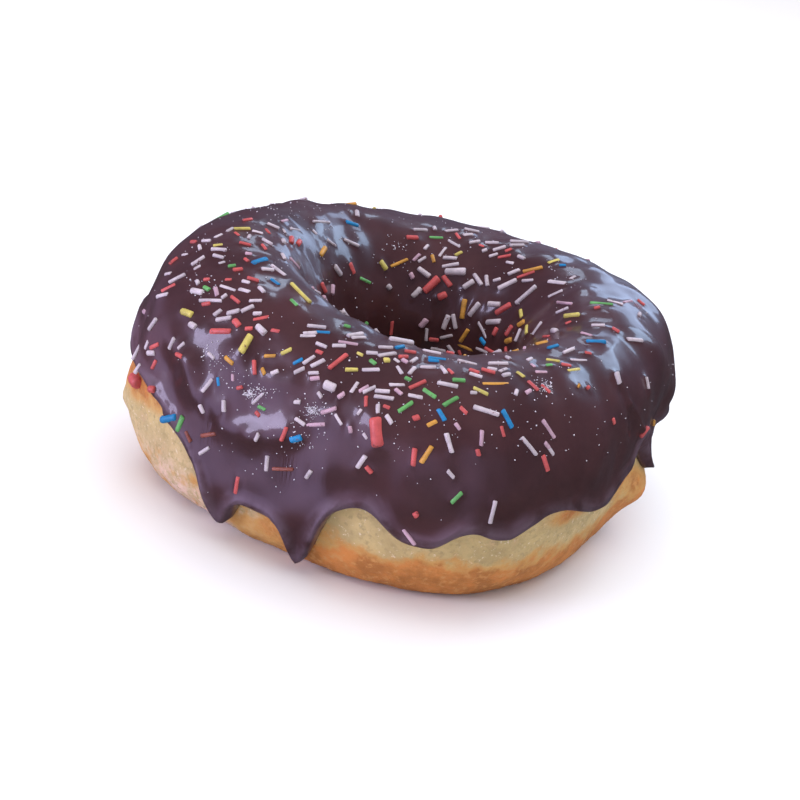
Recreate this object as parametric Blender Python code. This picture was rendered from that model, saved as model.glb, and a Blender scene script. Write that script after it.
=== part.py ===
"""A ring doughnut with a poured chocolate icing and sugar sprinkles, standing on Z = 0, in metres."""

import math
import random

import bmesh
import bpy
from mathutils import Matrix, Vector

MM = 0.001

# The dough ring. Its section is a rounded form round a crest line, wider at the waist than at the foot.
CREST_RADIUS = 33.8 * MM
OUTER_SIDE = 13.9 * MM
HOLE_SIDE = 14.5 * MM
CREST_RISE = 19.6 * MM
WAIST_HEIGHT = 22.0 * MM
FOOT_ROUNDING = 1.3 * MM
TOP_FULLNESS = 2.4
FOOT_FULLNESS = 2.8
HOLE_FULLNESS = 2.0

# Unevenness of the ring: waves around it, and the size of each one's cosine and sine part.
RING_WAVES = ((1, 2.7 * MM, -1.3 * MM),)
SIDE_WAVES = ((2, -0.3 * MM, 2.0 * MM), (3, -0.1 * MM, -1.0 * MM), (4, 0.3 * MM, 2.8 * MM))
CREST_WAVES = ((1, -1.7 * MM, 0.3 * MM), (2, 1.8 * MM, 0.5 * MM))
DOUGH_DIMPLE = 0.2 * MM

# The icing: a shell over the top, with a rounded bead along its edge.
ICING_GAP = 0.45 * MM
ICING_THICKNESS = 1.6 * MM
ICING_SWELL = 0.25 * MM
BEAD_HEIGHT = 0.45 * MM
BEAD_REACH = 2.4 * MM
SECTION_RADIUS = 18.0 * MM

# Height of the icing's outer edge above the table, and where it runs down or stays up.
EDGE_HEIGHT = 20.0 * MM
# Each run: angle around the ring and half width in degrees, and how far it runs down.
EDGE_RUNS = (
    (203.5, 21.5, -4.4 * MM),
    (244.0, 19.5, 9.0 * MM),
    (235.5, 4.3, 7.0 * MM),
    (256.0, 5.0, 9.8 * MM),
    (279.0, 8.0, 6.0 * MM),
    (294.0, 5.2, 3.4 * MM),
    (320.5, 9.5, 2.5 * MM),
    (337.0, 3.5, -2.7 * MM),
    (354.5, 9.8, 7.0 * MM),
    (26.0, 8.0, 4.0 * MM),
    (57.0, 5.5, 8.5 * MM),
    (84.0, 11.0, 4.5 * MM),
    (116.0, 6.5, 8.0 * MM),
    (148.0, 13.0, 5.0 * MM),
    (171.0, 5.0, 4.5 * MM),
)
RUN_BLUNTNESS = 2.5
HOLE_EDGE_HEIGHT = 11.0 * MM
HOLE_EDGE_WAVES = ((2, 0.9 * MM, 0.6 * MM), (5, 0.7 * MM, -0.8 * MM), (9, -0.4 * MM, 0.5 * MM))

# Mesh steps around the ring and around the section.
DOUGH_STEPS, DOUGH_SECTION = 60, 20
ICING_STEPS, ICING_OUTER, ICING_INNER = 132, 13, 12
EDGE_CROWDING = 0.4
EDGE_PULL = 2.0
MEAN_EDGE = math.radians(-10)
BASE_TUBE = 10.0 * MM

# Sprinkles: short sugar rods that lie half sunk in the icing.
SPRINKLE_SEED = 23
SPRINKLE_COUNT = 100
SPRINKLE_TRIES = 24
SPRINKLE_WIDTH = 1.05 * MM
SPRINKLE_LONG = 5.2 * MM
SPRINKLE_SHORT = 3.2 * MM
SPRINKLE_SIDES = 5
SPRINKLE_RAISED = 0.2
SPRINKLE_CLEARANCE = 5.2 * MM
EDGE_CLEARANCE = math.radians(13.0)
FLANK_SPARSENESS = 0.9

DOUGH_COLOUR = (0.62, 0.36, 0.14, 1.0)
ICING_COLOUR = (0.055, 0.022, 0.022, 1.0)


def wave_sum(waves, angle):
    return sum(c * math.cos(n * angle) + s * math.sin(n * angle) for n, c, s in waves)


def rounded(value, fullness):
    """A cosine or sine made fuller, so that a circle becomes a rounded square."""
    return math.copysign(abs(value) ** (2 / fullness), value)


def ring_point(around, section, offset):
    """A point of the ring, that far outside the dough. Section 0 faces out, a quarter turn is the crest."""
    across, up = math.cos(section), math.sin(section)
    fullness = FOOT_FULLNESS if up < 0 else TOP_FULLNESS if across > 0 else HOLE_FULLNESS
    side = OUTER_SIDE + wave_sum(SIDE_WAVES, around) if across > 0 else HOLE_SIDE
    rise = CREST_RISE + wave_sum(CREST_WAVES, around) if up > 0 else WAIST_HEIGHT + FOOT_ROUNDING
    crest = CREST_RADIUS + wave_sum(RING_WAVES, around)
    radius = crest + (side + offset) * rounded(across, fullness)
    height = WAIST_HEIGHT + (rise + offset) * rounded(up, fullness)
    return Vector((radius * math.cos(around), radius * math.sin(around), max(height, 0.0)))


def turn_between(a, b):
    """The smallest turn from angle b to angle a, in degrees."""
    return (a - b + 180.0) % 360.0 - 180.0


def outer_edge(around):
    """The section angle of the icing's outer edge."""
    height = EDGE_HEIGHT
    for angle, half_width, depth in EDGE_RUNS:
        away = abs(turn_between(math.degrees(around), angle)) / half_width
        height -= depth * math.exp(-(away ** RUN_BLUNTNESS))
    return edge_section(height, CREST_RISE + wave_sum(CREST_WAVES, around), TOP_FULLNESS)


def hole_edge(around):
    """The section angle of the icing's edge down the hole."""
    height = HOLE_EDGE_HEIGHT + wave_sum(HOLE_EDGE_WAVES, around)
    return math.pi - edge_section(height, CREST_RISE, HOLE_FULLNESS)


def edge_section(height, rise, fullness):
    above = height - WAIST_HEIGHT
    if above > 0:
        return math.asin(min(1.0, above / rise) ** (fullness / 2))
    return -math.asin(min(1.0, -above / (WAIST_HEIGHT + FOOT_ROUNDING)) ** (FOOT_FULLNESS / 2))


def icing_offset(around, section):
    """How far the icing's face stands off the dough: thick at the bead along each edge."""
    swell = math.sin(3 * around + 4 * section) + math.sin(7 * around - 3 * section + 1.3)
    swell += math.sin(5 * around + 6 * section + 0.4)
    from_edge = min(section - outer_edge(around), hole_edge(around) - section) * SECTION_RADIUS
    bead = BEAD_HEIGHT * math.exp(-((from_edge - BEAD_REACH / 2) / BEAD_REACH) ** 2)
    return ICING_GAP + ICING_THICKNESS + ICING_SWELL * swell / 2 + bead


def icing_point(around, section):
    return ring_point(around, section, icing_offset(around, section))


def dough_point(around, section):
    """The dough's face, with the shallow dimples of a fried crust."""
    dimple = math.sin(9 * around + 3 * section) * math.sin(5 * around - 7 * section)
    return ring_point(around, section, -DOUGH_DIMPLE * (1 + dimple))


def spun_ring(name, steps, section_steps):
    """A plain ring tube, which a shape function then moves into place."""
    shell = bmesh.new()
    made = bmesh.ops.create_circle(shell, segments=section_steps, radius=BASE_TUBE)
    upright = Matrix.Translation((CREST_RADIUS, 0, 0)) @ Matrix.Rotation(math.pi / 2, 4, "X")
    bmesh.ops.transform(shell, matrix=upright, verts=made["verts"])
    bmesh.ops.spin(
        shell, geom=shell.verts[:] + shell.edges[:], cent=(0, 0, 0), axis=(0, 0, 1),
        angle=2 * math.pi, steps=steps, use_merge=True,
    )
    bmesh.ops.remove_doubles(shell, verts=shell.verts, dist=0.01 * MM)
    bmesh.ops.recalc_face_normals(shell, faces=shell.faces)
    mesh = bpy.data.meshes.new(name)
    shell.to_mesh(mesh)
    shell.free()
    obj = bpy.data.objects.new(name, mesh)
    bpy.context.scene.collection.objects.link(obj)
    return obj


def ring_angles(vertex):
    """The angle around the ring and around its section of a vertex of the plain ring."""
    radius = math.hypot(vertex.co.x, vertex.co.y)
    return math.atan2(vertex.co.y, vertex.co.x), math.atan2(vertex.co.z, radius - CREST_RADIUS)


def make_dough():
    dough = spun_ring("dough", DOUGH_STEPS, DOUGH_SECTION)
    for vertex in dough.data.vertices:
        around, section = ring_angles(vertex)
        vertex.co = dough_point(around, section)
    return dough


def row_section(around, share):
    """The section angle of a row of points, from the outer edge to the hole's. Runs bend only the low rows."""
    high = hole_edge(around)
    even = MEAN_EDGE + (high - MEAN_EDGE) * share
    return even + (outer_edge(around) - MEAN_EDGE) * (1 - share) ** EDGE_PULL


def icing_vertex(around, place):
    """A point on the icing's closed section: its face, the two rounded edges, then its underside."""
    if place <= ICING_OUTER:
        share = place / ICING_OUTER
        share -= EDGE_CROWDING * math.sin(2 * math.pi * share) / (2 * math.pi)
        return icing_point(around, row_section(around, share))
    share = (place - ICING_OUTER - 1) / (ICING_INNER - 1)
    return ring_point(around, row_section(around, 1 - share), ICING_GAP)


def make_icing():
    loop = ICING_OUTER + 1 + ICING_INNER
    icing = spun_ring("icing", ICING_STEPS, loop)
    for vertex in icing.data.vertices:
        around, turn = ring_angles(vertex)
        place = round((turn / (2 * math.pi) - 0.25) * loop) % loop
        vertex.co = icing_vertex(around, place)
    return icing


def icing_frame(around, section, heading):
    """A place on the icing, with X along the heading and Z out of the face."""
    step = 0.002
    here = icing_point(around, section)
    along = (icing_point(around + step, section) - here).normalized()
    up = (icing_point(around, section + step) - here).normalized()
    out = along.cross(up).normalized()
    forward = (along * math.cos(heading) + out.cross(along) * math.sin(heading)).normalized()
    turned = Matrix((forward, out.cross(forward), out)).transposed().to_4x4()
    return Matrix.Translation(here) @ turned


def spacing(section):
    """How far apart sprinkles fall: close on the crest, wider down the outer flank."""
    return 1.0 + FLANK_SPARSENESS * max(0.0, math.cos(section + math.radians(15))) ** 2


def sprinkle_places():
    """Where the sprinkles lie: each is the candidate that is furthest from those before it."""
    draw = random.Random(SPRINKLE_SEED)
    places = []
    while len(places) < SPRINKLE_COUNT:
        best, best_gap = None, 0.0
        for _ in range(SPRINKLE_TRIES):
            around = draw.uniform(-math.pi, math.pi)
            low, high = outer_edge(around) + EDGE_CLEARANCE, hole_edge(around) - EDGE_CLEARANCE
            section = draw.uniform(low, high)
            here = icing_point(around, section)
            gap = min(((here - there).length for there, _, _ in places), default=1.0)
            if gap > SPRINKLE_CLEARANCE and gap / spacing(section) > best_gap:
                best, best_gap = (here, around, section), gap / spacing(section)
        if best is None:
            break
        places.append(best)
    return places


def make_sprinkle(index, length, frame):
    rod = bmesh.new()
    bmesh.ops.create_cone(
        rod, cap_ends=True, cap_tris=False, segments=SPRINKLE_SIDES,
        radius1=SPRINKLE_WIDTH / 2, radius2=SPRINKLE_WIDTH / 2, depth=length,
    )
    lying = Matrix.Translation((0, 0, SPRINKLE_RAISED * SPRINKLE_WIDTH / 2))
    lying = lying @ Matrix.Rotation(math.pi / 2, 4, "Y") @ Matrix.Rotation(math.pi / SPRINKLE_SIDES, 4, "Z")
    bmesh.ops.transform(rod, matrix=frame @ lying, verts=rod.verts)
    mesh = bpy.data.meshes.new(f"sprinkle_{index}")
    rod.to_mesh(mesh)
    rod.free()
    return bpy.data.objects.new(f"sprinkle_{index}", mesh)


def make_sprinkles():
    """All sprinkles in a collection of their own. The longest come first, so any share of them is even."""
    heap = bpy.data.collections.new("sprinkles")
    bpy.context.scene.collection.children.link(heap)
    draw = random.Random(SPRINKLE_SEED + 1)
    places = sprinkle_places()
    for index, (_, around, section) in enumerate(places):
        share = index / len(places)
        length = SPRINKLE_LONG + (SPRINKLE_SHORT - SPRINKLE_LONG) * share
        frame = icing_frame(around, section, draw.uniform(0, math.pi))
        heap.objects.link(make_sprinkle(index, length, frame))
    return heap


def fuse(obj, heap):
    """Joins a collection to an object with one union, then removes the collection's objects."""
    union = obj.modifiers.new("sprinkle_union", "BOOLEAN")
    union.operation = "UNION"
    union.operand_type = "COLLECTION"
    union.collection = heap
    union.solver = "EXACT"
    bpy.context.view_layer.update()
    fused = bpy.data.meshes.new_from_object(obj.evaluated_get(bpy.context.evaluated_depsgraph_get()))
    obj.modifiers.remove(union)
    obj.data = fused
    for member in list(heap.objects):
        bpy.data.objects.remove(member)
    bpy.data.collections.remove(heap)


def keep_largest_shell(obj):
    """Fills sealed hollows and drops loose scraps that the union left behind."""
    body = bmesh.new()
    body.from_mesh(obj.data)
    shells, seen = [], set()
    for start in body.verts:
        if start in seen:
            continue
        seen.add(start)
        shell, waiting = [], [start]
        while waiting:
            vertex = waiting.pop()
            shell.append(vertex)
            for edge in vertex.link_edges:
                other = edge.other_vert(vertex)
                if other not in seen:
                    seen.add(other)
                    waiting.append(other)
        shells.append(shell)
    shells.sort(key=len)
    for shell in shells[:-1]:
        bmesh.ops.delete(body, geom=shell, context="VERTS")
    body.to_mesh(obj.data)
    body.free()


def centre_on_origin(objects):
    """Moves all meshes so that the middle of their outline stands over the origin."""
    points = [vertex.co for obj in objects for vertex in obj.data.vertices]
    middle = Vector((0.0, 0.0, 0.0))
    for axis in (0, 1):
        values = [point[axis] for point in points]
        middle[axis] = (min(values) + max(values)) / 2
    for obj in objects:
        obj.data.transform(Matrix.Translation(-middle))


def give_material(obj, colour, roughness):
    material = bpy.data.materials.new(obj.name)
    material.use_nodes = True
    shader = material.node_tree.nodes["Principled BSDF"]
    shader.inputs["Base Color"].default_value = colour
    shader.inputs["Roughness"].default_value = roughness
    shader.inputs["Metallic"].default_value = 0.0
    obj.data.materials.clear()
    obj.data.materials.append(material)
    obj.data.shade_smooth()
    obj.data.set_sharp_from_angle(angle=math.radians(40))


def main():
    for obj in list(bpy.data.objects):
        bpy.data.objects.remove(obj)
    dough = make_dough()
    icing = make_icing()
    fuse(icing, make_sprinkles())
    keep_largest_shell(icing)
    centre_on_origin((dough, icing))
    give_material(dough, DOUGH_COLOUR, 0.75)
    give_material(icing, ICING_COLOUR, 0.2)


main()
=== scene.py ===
"""Ring doughnut with chocolate icing and sugar sprinkles: the looks, laid out as a Blender add-on."""

import math
import random

import bmesh
import bpy
import numpy as np
from bpy.props import FloatProperty, FloatVectorProperty, IntProperty, PointerProperty
from mathutils import Matrix, Vector
from mathutils.bvhtree import BVHTree
from mathutils.kdtree import KDTree


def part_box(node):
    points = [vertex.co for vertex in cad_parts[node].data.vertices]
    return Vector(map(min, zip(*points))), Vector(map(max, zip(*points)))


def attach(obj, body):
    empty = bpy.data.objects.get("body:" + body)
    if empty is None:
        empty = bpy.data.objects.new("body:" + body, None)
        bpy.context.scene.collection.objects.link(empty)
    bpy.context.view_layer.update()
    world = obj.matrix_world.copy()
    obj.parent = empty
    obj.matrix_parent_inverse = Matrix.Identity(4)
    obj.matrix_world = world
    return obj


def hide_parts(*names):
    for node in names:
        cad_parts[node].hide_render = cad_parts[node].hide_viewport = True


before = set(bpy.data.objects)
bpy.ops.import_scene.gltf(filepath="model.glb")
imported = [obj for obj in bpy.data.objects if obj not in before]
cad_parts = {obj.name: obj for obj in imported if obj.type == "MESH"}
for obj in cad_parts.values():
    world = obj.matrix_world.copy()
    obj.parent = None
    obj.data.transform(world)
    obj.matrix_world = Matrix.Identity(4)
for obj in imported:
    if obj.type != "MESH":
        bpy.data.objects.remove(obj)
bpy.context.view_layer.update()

bl_info = {
    "name": "Iced ring doughnut",
    "version": (1, 0, 0),
    "blender": (4, 5, 0),
    "location": "View3D > Sidebar > Doughnut",
    "description": "Builds a ring doughnut with chocolate icing, sugar sprinkles and its studio",
    "category": "Add Mesh",
}

MM = 0.001

# The dough ring's section and how it changes around the ring, as in the solids.
CREST_RADIUS = 33.8 * MM
OUTER_SIDE = 13.9 * MM
HOLE_SIDE = 14.5 * MM
CREST_RISE = 19.6 * MM
WAIST_HEIGHT = 22.0 * MM
FOOT_ROUNDING = 1.3 * MM
TOP_FULLNESS, FOOT_FULLNESS, HOLE_FULLNESS = 2.4, 2.8, 2.0
RING_WAVES = ((1, 2.7 * MM, -1.3 * MM),)
SIDE_WAVES = ((2, -0.3 * MM, 2.0 * MM), (3, -0.1 * MM, -1.0 * MM), (4, 0.3 * MM, 2.8 * MM))
CREST_WAVES = ((1, -1.7 * MM, 0.3 * MM), (2, 1.8 * MM, 0.5 * MM))
DOUGH_DIMPLE = 0.2 * MM
SOLID_STEPS, SOLID_SECTION = 60, 20

# Runs of the icing's edge: degrees around the ring, half width in degrees and depth in millimetres.
EDGE_HEIGHT = 20.0 * MM
EDGE_RUNS = (
    (203.5, 21.5, -4.4), (195, 10, -5.5), (244, 19.5, 9), (235.5, 4.2, 7), (256, 4.4, 9.8), (279, 8, 6),
    (294, 5.2, 3.4), (320.5, 9.5, 2.5), (340.5, 4.2, -4.8), (349.5, 4.2, 3.4), (26, 8, 4), (57, 5.5, 8.5),
    (84, 11, 4.5), (116, 6.5, 8), (148, 13, 5), (171, 5, 4.5),
)
RUN_BLUNTNESS = 2.8
HOLE_EDGE_HEIGHT = 11.0 * MM
HOLE_EDGE_WAVES = ((2, 0.9 * MM, 0.6 * MM), (5, 0.7 * MM, -0.8 * MM), (9, -0.4 * MM, 0.5 * MM))
MEAN_EDGE = math.radians(-10)
EDGE_PULL = 2.0
ICING_SWELL = 0.25 * MM
ICING_SWELL_WAVES = ((3, 4, 0.0), (7, -3, 1.3), (5, 6, 0.4))

# Soft lumps and hollows: degrees around the ring and the section, half width and height in millimetres.
LUMPS = (
    (200.5, -5, 7, 2.1), (196, -13.3, 2.9, 1.7), (205.4, -42.9, 8, 0.8), (195.5, 15.3, 8.2, -0.9),
    (348, -14.5, 5.4, 3.6), (357, 1.7, 9, -2.9), (4.6, 8, 4.5, 1.2), (208, 135, 6, -1.6),
)

# Mesh steps around the ring and around the section.
DOUGH_STEPS, DOUGH_SECTION = 520, 150
ICING_STEPS, ICING_FACE, ICING_BACK = 660, 124, 12
EDGE_SAMPLES, COLUMN_SAMPLES = 3000, 7201
BASE_TUBE = 10.0 * MM

# The photograph's frame, and how far down it the middle of the ring stands.
PHOTO_WIDTH = 800
PHOTO_CENTRE = 400.0
RING_PIXEL_Y = 371.5
SENSOR_WIDTH = 36.0
FOCAL_PIXELS = 1520.5

# Sprinkles in the photograph: one end's pixel, how far off the other end is, and millimetres of thick ones.
SEEN_SPRINKLES = {"white": (
    (202, 392, 11, -13), (200, 404, 4, 9), (224, 400, 0, 12), (252, 404, 12, -11), (271, 374, 8, -3),
    (294, 373, 11, -5), (308, 373, 11, 0), (318, 392, 4, 6), (351, 393, 7, -11), (294, 402, 7, 0),
    (374, 396, 20, 3), (375, 391, 15, 1), (335, 414, 7, 11), (358, 414, 3, -4), (295, 418, 10, 7),
    (364, 434, 3, 4), (378, 404, 0, 10), (386, 415, 6, 9), (255, 441, 4, -8), (199, 454, 11, -7),
    (268, 455, -2, 16), (306, 478, 6, -8), (357, 468, 9, -13, 1), (362, 370, 18, 0), (134, 373, 7, -9),
    (473, 407, 26, 8), (446, 433, 6, 20, 0.9), (521, 437, 16, 18), (544, 442, 10, 13), (447, 470, 7, 8),
    (495, 500, -5, 24, 0.95), (437, 383, 21, 4), (408, 395, 15, 3), (515, 396, 2, -6),
    (616, 372, 3, 12, 1.1), (646, 377, 2, 12), (397, 366, 5, 9), (409, 375, 6, -8), (420, 368, 16, 0),
    (441, 366, 5, 9), (488, 365, 20, -1), (469, 374, 13, 4), (389, 385, 16, 0), (227, 233, 6, -5),
    (252, 231, 11, 3), (248, 240, 2, -5), (267, 224, 12, 5), (312, 223, 19, -2), (357, 209, 0, 10, 1.2),
    (289, 230, 12, -1), (283, 229, 2, 5), (283, 239, 0, 7, 1), (262, 239, 10, 7), (211, 249, 16, 2),
    (202, 241, 9, 1), (215, 239, 7, -5), (199, 245, 2, 6), (182, 255, 6, 0), (192, 266, 13, -9),
    (194, 270, 7, -4), (213, 255, 11, 4), (219, 264, 6, -2), (282, 254, 2, 7), (261, 270, 13, 0),
    (271, 265, 14, 12), (165, 274, 7, 0), (169, 283, 17, -8), (156, 296, 13, -1), (191, 290, 13, 4, 1.3),
    (197, 281, 2, 4), (242, 281, 8, 3), (220, 285, 16, 7), (239, 289, 11, 4), (199, 300, 24, 2),
    (222, 299, 5, -4), (249, 301, 13, 0), (259, 287, 5, 7), (214, 316, 8, -6), (227, 314, 13, -3),
    (241, 312, 13, -6), (216, 320, 16, -2), (253, 314, 9, 0), (257, 326, 9, 9, 1.25), (190, 324, 7, 4, 1.2),
    (149, 330, 9, -11), (169, 349, 6, -11), (178, 349, 7, -6), (147, 353, 9, 0, 1.1), (145, 349, 4, -8),
    (133, 360, 8, -15), (208, 353, 7, 6), (303, 364, 12, -8), (311, 367, 14, -7), (316, 343, 11, 5),
    (332, 346, 14, 0), (347, 338, 16, -5), (307, 326, 19, 2), (333, 266, 8, 9, 1.2), (387, 285, 3, 4, 1.2),
    (326, 240, 10, 6), (343, 240, 16, 6), (313, 231, 3, 3), (413, 231, 14, -1), (434, 227, 1, 4),
    (445, 232, 13, -2), (464, 230, 15, 2), (463, 236, 10, -2), (448, 240, 12, 8), (469, 244, 11, -3),
    (485, 243, 14, 1), (493, 251, 13, -4), (510, 243, 19, -1), (510, 247, 14, -2), (489, 257, 9, -3),
    (482, 252, 5, -2), (518, 256, 7, 4), (506, 262, 8, 2), (424, 250, 4, -5), (439, 257, 7, -10),
    (418, 262, 8, -5), (443, 258, 14, 1), (442, 267, 17, -3), (445, 272, 21, 0, 1.75),
    (418, 268, 12, 9, 1.2), (412, 297, 9, -9, 1.35), (463, 288, 11, -7, 1.3), (474, 274, 8, 12, 1),
    (486, 275, 2, 12, 1), (498, 289, 19, -9, 1.2), (493, 281, 8, -2), (508, 275, 12, -5), (522, 281, 12, 0),
    (516, 304, 21, -17, 1.05), (488, 304, 13, 1, 1.3), (469, 316, 11, -13, 1.35), (443, 329, 6, -14, 1.2),
    (453, 314, 3, 15, 1.1), (427, 328, -1, 13), (440, 338, 13, -3), (478, 322, 10, 17),
    (486, 322, 16, 0, 1.3), (516, 342, 5, -13), (533, 335, 9, -13, 1), (551, 330, 8, 4, 1.2),
    (548, 281, 18, 4, 1.2), (570, 280, 5, -4), (548, 297, 15, -6), (556, 313, 13, -4), (591, 326, 14, 0),
    (563, 355, 11, -7), (570, 361, 17, -1), (389, 342, 24, 1, 1.2), (457, 361, 20, 4),
    (324, 384, 12, 5, 1.7), (378, 348, 15, 0), (378, 357, 18, -4), (366, 353, 12, 1), (423, 351, 18, 4),
    (431, 348, 15, 3), (487, 369, 10, 2), (499, 373, 8, -5), (502, 377, 8, -3), (506, 357, 4, 3),
    (527, 362, 5, -4), (363, 393, 13, -6), (394, 359, 5, 4), (410, 364, 7, -6), (300, 336, 16, 0),
    (448, 345, 6, 8), (607, 300, 16, 5), (638, 317, 2, -4), (626, 340, 17, 0), (303, 334, 14, -1),
    (470, 393, 7, 0), (475, 348, 15, 5), (351, 339, 15, -2),
), "pink": (
    (233, 374, 0, 7), (310, 379, 10, -1), (338, 398, 7, -5), (321, 413, 16, -5), (306, 425, 20, -1),
    (350, 427, 1, 5), (455, 423, 5, 7), (482, 430, -1, 16), (542, 420, 13, 18), (544, 442, 5, 6),
    (403, 529, 12, 16), (525, 394, 6, -4), (395, 389, 7, 6), (142, 310, 6, 4, 1.1), (289, 259, 11, 9),
    (215, 287, 3, 10, 1.05), (332, 285, -2, 10, 1.2), (281, 223, 7, -4), (245, 254, 7, 1),
    (338, 342, 20, 3), (413, 261, 7, -7), (420, 327, 7, -8, 1.35), (410, 273, 3, 6, 1.1), (556, 301, 17, 5),
    (581, 332, 11, 5), (524, 345, 1, 7), (535, 373, 12, -1), (359, 392, 10, -6), (403, 361, 3, 2),
    (623, 305, 9, -6), (531, 364, 4, 4),
), "red": (
    (254, 360, 1, 15), (366, 396, 0, 11), (384, 406, 5, 2), (281, 441, 6, -14), (375, 417, 3, 30, 2.5),
    (366, 466, 6, 7), (235, 494, 4, -18, 1), (134, 376, 8, 9, 2.6), (149, 389, 7, 1, 1.4),
    (152, 369, 5, -9), (329, 369, 18, -15), (238, 388, 4, -1), (257, 413, 2, 2), (460, 407, 7, 7),
    (501, 426, 3, 11), (477, 449, 2, 7), (542, 455, 6, 16, 0.95), (415, 448, -2, 18, 0.95),
    (415, 512, 2, 4, 1.1), (409, 389, 17, -8), (528, 381, 10, 10), (541, 385, 9, 8), (586, 387, 2, 2, 1.1),
    (612, 418, 2, 6), (413, 419, 6, -2, 1.1), (448, 369, 5, 6), (235, 232, 4, 5), (243, 222, 9, -3),
    (266, 229, 3, 6), (289, 246, 3, -10, 1.2), (295, 247, 6, -7, 1.2), (262, 244, 4, 7), (239, 243, 12, 3),
    (191, 242, 6, 1), (170, 265, 8, -7), (245, 259, 3, 3), (233, 271, 10, -1), (161, 291, 15, -6),
    (204, 280, 6, 0), (225, 280, 7, 0), (247, 278, 12, 4), (231, 296, 9, 8), (202, 305, 9, -1),
    (234, 320, 6, 7, 1.3), (253, 320, 16, -3), (210, 331, 22, 1, 1.2), (245, 329, 8, 0), (271, 330, 9, 2),
    (150, 348, 10, -4), (176, 354, 7, 3), (349, 263, 5, 11, 1.35), (320, 283, 5, 10, 1.1),
    (391, 335, 1, -14), (316, 351, 7, 3), (406, 238, 12, 0, 1.1), (456, 233, 4, 7), (479, 245, 5, 2),
    (498, 258, 13, -2), (505, 252, 7, -3), (424, 292, 15, -14, 1.75), (443, 276, 8, 11, 1.3),
    (438, 298, 9, -4, 1.75), (517, 278, 18, -6), (496, 314, 16, -9, 1.35), (429, 339, 10, 1, 1.1),
    (494, 336, 4, -8, 1.1), (506, 336, 7, -10, 1.2), (543, 336, 7, 2), (566, 324, 5, -2), (612, 328, 7, 5),
    (595, 309, 4, -1), (585, 353, 6, 1), (561, 365, 10, 1), (469, 370, 10, 4), (481, 370, 14, 4),
    (398, 358, 10, -1), (404, 352, 12, 1), (446, 353, 8, 1), (484, 348, 13, 6), (459, 350, 3, 9),
    (637, 300, 7, 6),
), "orange": (
    (262, 368, 3, 7), (427, 426, 10, -5, 0.95), (421, 463, 11, -17, 0.9), (482, 385, 27, -2),
    (577, 386, 2, 1, 1.1), (660, 421, 0, 5), (225, 357, 9, 7), (264, 356, 12, 0), (317, 258, 10, -12, 1.3),
    (390, 267, 18, -8), (432, 255, 2, 8), (523, 272, 20, -4), (462, 319, 3, -20, 1.2),
    (460, 342, 9, -13, 1), (456, 344, 19, 7), (518, 326, 8, -4, 1.3), (505, 342, 9, -2, 1.3),
    (536, 346, 12, -4, 1.3),
), "yellow": (
    (345, 370, 13, 0), (473, 388, 15, 7), (567, 372, 13, -4), (517, 372, 7, 6), (234, 230, 16, -1),
    (213, 246, 10, -1), (182, 311, 12, 5, 1.3), (241, 353, 10, -18, 1.4), (281, 354, 11, -5),
    (292, 281, 17, 25), (380, 261, 6, 9, 1.2), (357, 353, 6, 3), (384, 361, 5, 0, 1.1), (455, 256, 7, -4),
    (520, 309, 3, 10, 1.1), (526, 324, 2, 12, 1), (548, 264, 11, -5), (564, 316, 16, 0, 1.1),
    (546, 360, 14, 2),
), "green": (
    (177, 431, 7, -15, 1), (258, 406, 8, 4), (370, 360, 6, 5), (398, 412, 15, -10), (423, 389, 13, 9),
    (443, 406, 15, -9), (452, 381, 13, 0), (405, 378, 6, 3), (451, 503, 11, -11, 0.95), (228, 267, 8, -1),
    (204, 287, 6, 4), (344, 326, 6, 2), (359, 278, 12, 5), (291, 299, 6, 8), (429, 238, 14, 0),
    (590, 303, 23, 2), (546, 366, 6, -1),
), "blue": (
    (160, 420, 17, -3, 1.5), (218, 377, 1, 9), (290, 440, 12, -3, 1.3), (438, 409, 7, 12, 0.9),
    (502, 410, 10, 18, 0.95), (293, 364, 10, -5), (345, 223, 13, 3, 1.1), (252, 265, 15, -7, 1.3),
    (316, 332, 14, 1), (271, 279, 8, 7), (428, 361, 11, 1), (395, 350, 9, -4), (428, 358, 18, 2),
    (480, 338, 7, 7, 1.3), (548, 350, 10, -5), (559, 266, 7, 0), (586, 342, 20, 0, 1),
), "brown": (
    (186, 431, 5, 11), (201, 436, 16, -3), (272, 469, 22, 0),
)}

# Heaps of fine sugar seen in the photograph: pixel, spread in pixels and how many grains.
SEEN_SUGAR = (
    (250, 393, 3.2, 90), (256, 392, 9, 60), (312, 411, 3, 80), (311, 412, 7, 50), (546, 387, 3, 50),
    (545, 388, 7, 30), (304, 440, 12, 40), (217, 356, 12, 34), (205, 288, 9, 24), (222, 262, 40, 40),
    (300, 224, 40, 60), (398, 246, 5, 20), (430, 420, 40, 40), (440, 235, 50, 30), (566, 272, 10, 24),
    (225, 375, 25, 30), (330, 395, 60, 70), (255, 470, 30, 20), (560, 420, 40, 24), (500, 380, 40, 40),
)

# Folds in the icing, from pixel to pixel: half width and height in millimetres, below nought for grooves.
SEEN_FOLDS = (
    (616, 376, 631, 404, 0.7, 0.4), (631, 404, 641, 428, 0.7, 0.5), (641, 428, 640, 450, 0.8, 0.5),
    (646, 378, 649, 392, 1, 0.4), (624, 392, 634, 432, 1.8, -0.6), (655, 350, 668, 392, 3, 0.7),
    (172, 340, 190, 362, 2.2, 0.6), (190, 362, 196, 392, 2.2, 0.9), (168, 372, 176, 402, 2, -0.6),
    (222, 424, 252, 434, 2, 0.7), (252, 434, 292, 432, 2.2, 0.7), (208, 396, 222, 412, 1.6, 0.3),
    (210, 424, 222, 412, 0.5, -0.4), (262, 380, 290, 380, 2.2, 0.6), (238, 352, 246, 372, 2, 0.6),
    (330, 468, 350, 470, 3, 0.4), (300, 350, 292, 300, 2.5, 0.4), (566, 372, 600, 352, 4, 0.5),
    (588, 300, 640, 330, 5, 0.4),
)

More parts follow.
